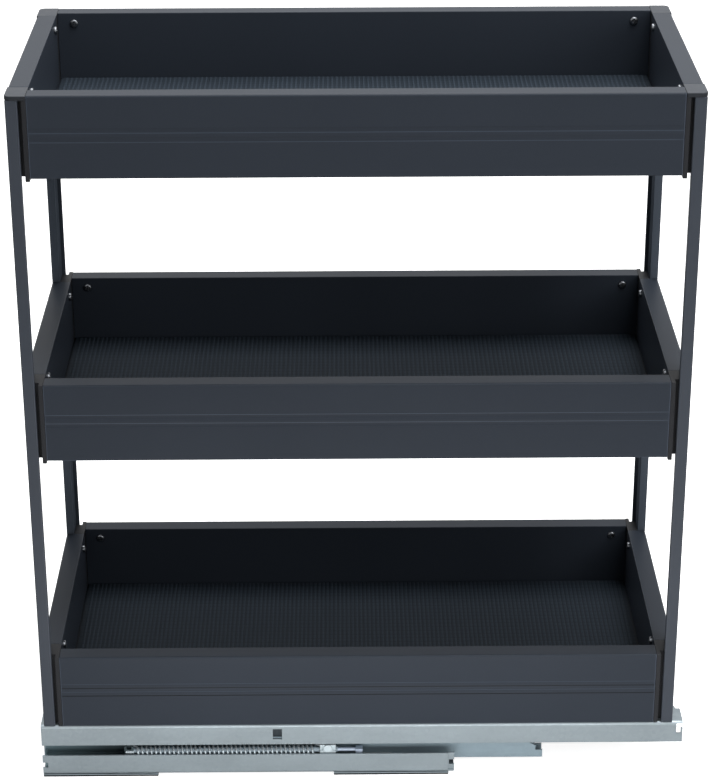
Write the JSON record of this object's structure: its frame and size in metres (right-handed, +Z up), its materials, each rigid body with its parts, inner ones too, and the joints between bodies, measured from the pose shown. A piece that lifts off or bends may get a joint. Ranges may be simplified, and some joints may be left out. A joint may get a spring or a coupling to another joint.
{
  "type": "cabinet pull-out shelving rack",
  "caption": "Pull-out cabinet rack: stacked tray baskets between corner posts on soft-close floor slides that extend out of a base cabinet",
  "frame": {"origin": "on the cabinet floor under the middle of the slides", "axes": "+X along the slides away from the cabinet door (the carriage opens towards -X), +Y across the rack, +Z up"},
  "size_m": [0.45, 0.2078, 0.5],
  "materials": {
    "anthracite_extrusion": "anthracite powder coat, satin",
    "floor_panel": "dark powder coat",
    "floor_mat": "ribbed anti-slip mat, matt",
    "connector_plastic": "moulded, fine grain",
    "cap_plastic": "moulded, satin",
    "galvanised_steel": "zinc plated, drawn along X",
    "roller_cage": "moulded",
    "base_plate": "dark, matt",
    "black_plastic": "moulded, satin",
    "white_plastic": "moulded, satin",
    "grey_plastic": "moulded, satin",
    "spring_steel": "bright wire",
    "bright_screws": "nickel plated",
    "zinc_screws": "zinc plated"
  },
  "bodies": {
    "base": {"damper_rod": "grey_plastic", "door_end_base_plate": "base_plate", "front_fixed_channel": "galvanised_steel", "inner_base_plate": "base_plate", "rear_fixed_channel": "galvanised_steel", "soft_close_carrier": "black_plastic", "soft_close_spring": "spring_steel", "spring_anchor": "white_plastic"},
    "soft_close_slider": {"catch": "black_plastic", "damper_cylinder": "black_plastic"},
    "lower_rollers": {"front_lower_rollers": "roller_cage", "rear_lower_rollers": "roller_cage"},
    "middle_stage": {"front_middle_member": "galvanised_steel", "rear_middle_member": "galvanised_steel"},
    "upper_rollers": {"front_upper_rollers": "roller_cage", "rear_upper_rollers": "roller_cage"},
    "carriage": {"basket_screws": "bright_screws", "bottom_floor_mat": "floor_mat", "bottom_floor_panel": "floor_panel", "bottom_front_left_connector": "connector_plastic", "bottom_front_right_connector": "connector_plastic", "bottom_front_wall": "anthracite_extrusion", "bottom_left_wall": "anthracite_extrusion", "bottom_rear_left_connector": "connector_plastic", "bottom_rear_right_connector": "connector_plastic", "bottom_rear_wall": "anthracite_extrusion", "bottom_right_wall": "anthracite_extrusion", "catch_trigger": "black_plastic", "front_left_cap": "cap_plastic", "front_left_post": "anthracite_extrusion", "front_right_cap": "cap_plastic", "front_right_post": "anthracite_extrusion", "front_top_rail": "galvanised_steel", "middle_floor_mat": "floor_mat", "middle_floor_panel": "floor_panel", "middle_front_left_connector": "connector_plastic", "middle_front_right_connector": "connector_plastic", "middle_front_wall": "anthracite_extrusion", "middle_left_wall": "anthracite_extrusion", "middle_rear_left_connector": "connector_plastic", "middle_rear_right_connector": "connector_plastic", "middle_rear_wall": "anthracite_extrusion", "middle_right_wall": "anthracite_extrusion", "post_screws": "zinc_screws", "rail_screws": "zinc_screws", "rear_left_cap": "cap_plastic", "rear_left_post": "anthracite_extrusion", "rear_right_cap": "cap_plastic", "rear_right_post": "anthracite_extrusion", "rear_top_rail": "galvanised_steel", "top_floor_mat": "floor_mat", "top_floor_panel": "floor_panel", "top_front_left_connector": "connector_plastic", "top_front_right_connector": "connector_plastic", "top_front_wall": "anthracite_extrusion", "top_left_wall": "anthracite_extrusion", "top_rear_left_connector": "connector_plastic", "top_rear_right_connector": "connector_plastic", "top_rear_wall": "anthracite_extrusion", "top_right_wall": "anthracite_extrusion"}
  },
  "joints": [
    {"name": "carriage_slide", "type": "slide", "parent": "base", "child": "carriage", "axis": [-1, 0, 0], "range_m": [0, 0.42]},
    {"name": "middle_slide", "type": "slide", "parent": "base", "child": "middle_stage", "axis": [-1, 0, 0], "range_m": [0, 0.21]},
    {"name": "lower_roller_slide", "type": "slide", "parent": "base", "child": "lower_rollers", "axis": [-1, 0, 0], "range_m": [0, 0.105]},
    {"name": "upper_roller_slide", "type": "slide", "parent": "base", "child": "upper_rollers", "axis": [-1, 0, 0], "range_m": [0, 0.315]},
    {"name": "soft_close_slide", "type": "slide", "parent": "base", "child": "soft_close_slider", "axis": [-1, 0, 0], "range_m": [0, 0.048], "stiffness_N_per_m": 200, "deforming": ["soft_close_spring"]}
  ],
  "couplings": [
    {"joint": "middle_slide", "follows": "carriage_slide", "ratio": 0.5},
    {"joint": "lower_roller_slide", "follows": "carriage_slide", "ratio": 0.25},
    {"joint": "upper_roller_slide", "follows": "carriage_slide", "ratio": 0.75}
  ]
}
